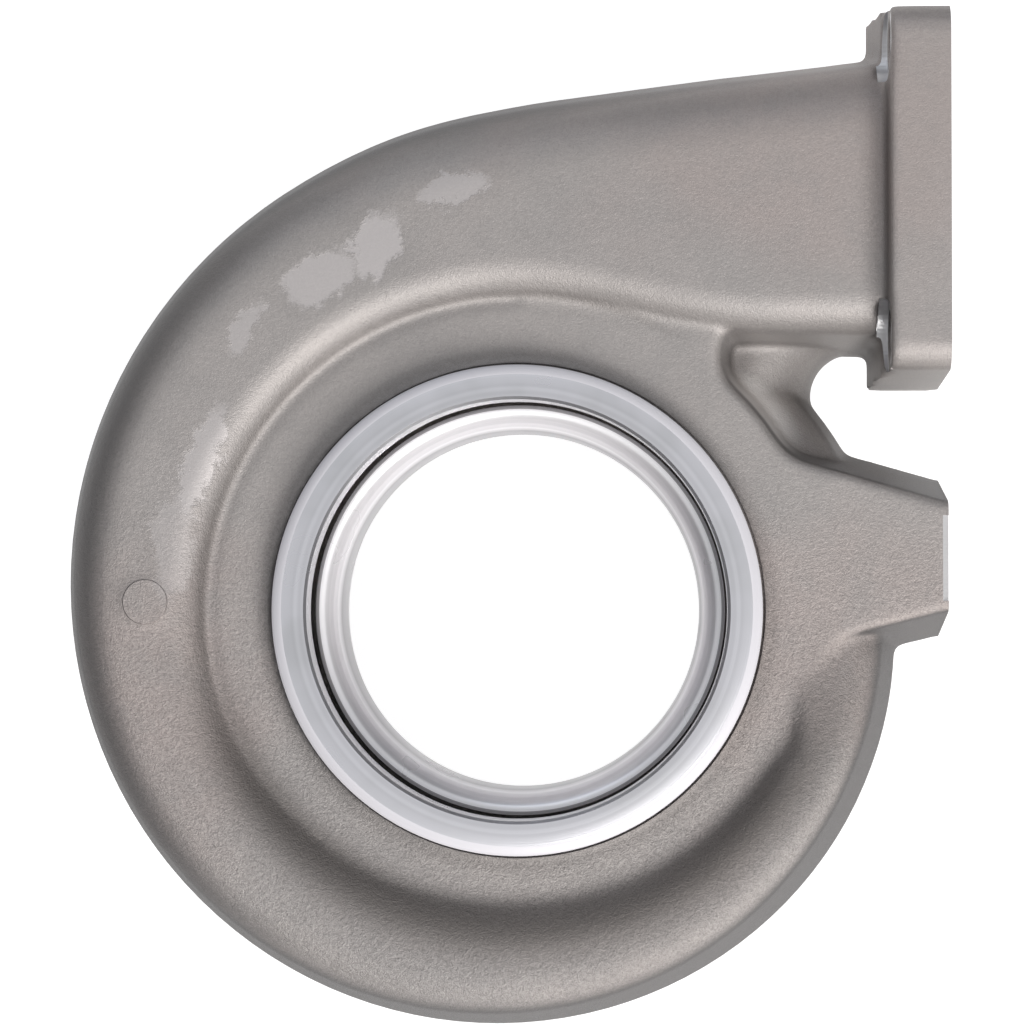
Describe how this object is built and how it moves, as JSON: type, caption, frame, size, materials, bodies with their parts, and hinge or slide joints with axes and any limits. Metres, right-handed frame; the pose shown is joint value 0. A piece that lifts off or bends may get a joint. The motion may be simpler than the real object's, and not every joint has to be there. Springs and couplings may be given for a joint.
{
  "type": "turbocharger turbine housing",
  "caption": "Cast spiral gas housing with a side inlet flange, a machined clamp ring and pilot bore, a support lug and a central outlet.",
  "frame": {"origin": "turbine axis at the outlet face", "axes": "+Z along the turbine axis towards the bearing housing, +X the way the inlet flange faces"},
  "size_m": [0.2468, 0.2837, 0.15],
  "materials": {
    "cast_iron": "blasted casting, satin, with turned and milled interfaces"
  },
  "bodies": {
    "root": {"turbine_housing": "cast_iron"}
  },
  "joints": []
}
